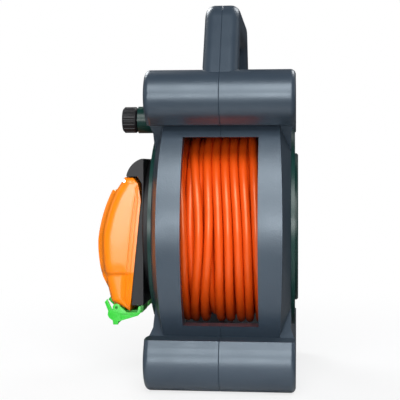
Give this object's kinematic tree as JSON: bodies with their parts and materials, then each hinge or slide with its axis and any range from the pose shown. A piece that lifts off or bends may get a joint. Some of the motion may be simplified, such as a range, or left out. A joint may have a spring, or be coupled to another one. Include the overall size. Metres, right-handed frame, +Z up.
{
  "type": "extension cord reel",
  "caption": "Cased extension cord reel: windowed casing with a carrying handle, crank-turned drum of orange cable, and a splash-proof socket box with hinged covers.",
  "frame": {"origin": "middle of the casing's flat base, on the floor, in the plane where the casing's halves meet", "axes": "+X towards the side cap and away from the sockets, -Y the side seen in front, +Z up through the handle; the drum turns about the line along X at z = 0.150"},
  "size_m": [0.1987, 0.3192, 0.3685],
  "materials": {
    "casing_grey": "satin moulded polypropylene with a fine spark texture",
    "drum_green": "satin moulded plastic",
    "housing_black": "gloss moulded plastic",
    "socket_dark": "satin",
    "cover_orange": "gloss moulded plastic",
    "latch_green": "gloss moulded plastic",
    "cable_orange": "smooth PVC sheath",
    "plug_black": "satin",
    "button_black": "gloss",
    "seal_rubber": "matt",
    "steel": "zinc plated",
    "brass": "bright"
  },
  "bodies": {
    "casing": {"left_casing": "casing_grey", "right_casing": "casing_grey", "casing_screws": "steel", "cable_tail": "cable_orange", "plug_cover": "plug_black", "plug_base": "plug_black", "plug_sleeve": "plug_black", "plug_pins": "brass"},
    "drum": {"drum_hub": "drum_green", "left_flange": "drum_green", "right_flange": "drum_green", "hub_screws": "steel", "side_cap": "drum_green", "collar_ring": "housing_black", "cable_gland": "housing_black", "cable_winding": "cable_orange", "crank_arm": "drum_green", "knob_screw": "steel", "socket_housing": "housing_black", "thermal_cutout": "socket_dark", "button_spring": "steel", "front_socket": "socket_dark", "rear_socket": "socket_dark", "front_contacts": "brass", "rear_contacts": "brass", "front_seal": "seal_rubber", "rear_seal": "seal_rubber", "front_hinge_pin": "steel", "rear_hinge_pin": "steel"},
    "crank_knob": {"crank_knob": "housing_black"},
    "reset_button": {"reset_button": "button_black"},
    "front_cover": {"front_cover": "cover_orange", "front_latch_pin": "steel"},
    "front_latch": {"front_latch": "latch_green"},
    "front_shutter": {"front_shutter": "socket_dark"},
    "rear_cover": {"rear_cover": "cover_orange", "rear_latch_pin": "steel"},
    "rear_latch": {"rear_latch": "latch_green"},
    "rear_shutter": {"rear_shutter": "socket_dark"}
  },
  "joints": [
    {"name": "drum_spin", "type": "hinge", "parent": "casing", "child": "drum", "pos_m": [0, 0, 0.15], "axis": [1, 0, 0], "continuous": true},
    {"name": "knob_spin", "type": "hinge", "parent": "drum", "child": "crank_knob", "pos_m": [-0.1, 0, 0.26], "axis": [1, 0, 0], "continuous": true},
    {"name": "reset_press", "type": "slide", "parent": "drum", "child": "reset_button", "axis": [1, 0, 0], "range_m": [0, 0.0025], "stiffness_N_per_m": 800, "springref_m": -0.002, "deforming": ["button_spring"]},
    {"name": "front_cover_hinge", "type": "hinge", "parent": "drum", "child": "front_cover", "pos_m": [-0.0977, -0.034, 0.197], "axis": [0, 1, 0], "range_deg": [0, 110]},
    {"name": "front_latch_pivot", "type": "hinge", "parent": "front_cover", "child": "front_latch", "pos_m": [-0.1047, -0.034, 0.0729], "axis": [0, 1, 0], "range_deg": [0, 35]},
    {"name": "front_shutter_slide", "type": "slide", "parent": "drum", "child": "front_shutter", "axis": [0.1004, 0, 0.995], "range_m": [0, 0.0064], "stiffness_N_per_m": 100, "springref_m": -0.004},
    {"name": "rear_cover_hinge", "type": "hinge", "parent": "drum", "child": "rear_cover", "pos_m": [-0.0977, 0.034, 0.197], "axis": [0, 1, 0], "range_deg": [0, 110]},
    {"name": "rear_latch_pivot", "type": "hinge", "parent": "rear_cover", "child": "rear_latch", "pos_m": [-0.1047, 0.034, 0.0729], "axis": [0, 1, 0], "range_deg": [0, 35]},
    {"name": "rear_shutter_slide", "type": "slide", "parent": "drum", "child": "rear_shutter", "axis": [0.1004, 0, 0.995], "range_m": [0, 0.0064], "stiffness_N_per_m": 100, "springref_m": -0.004}
  ]
}
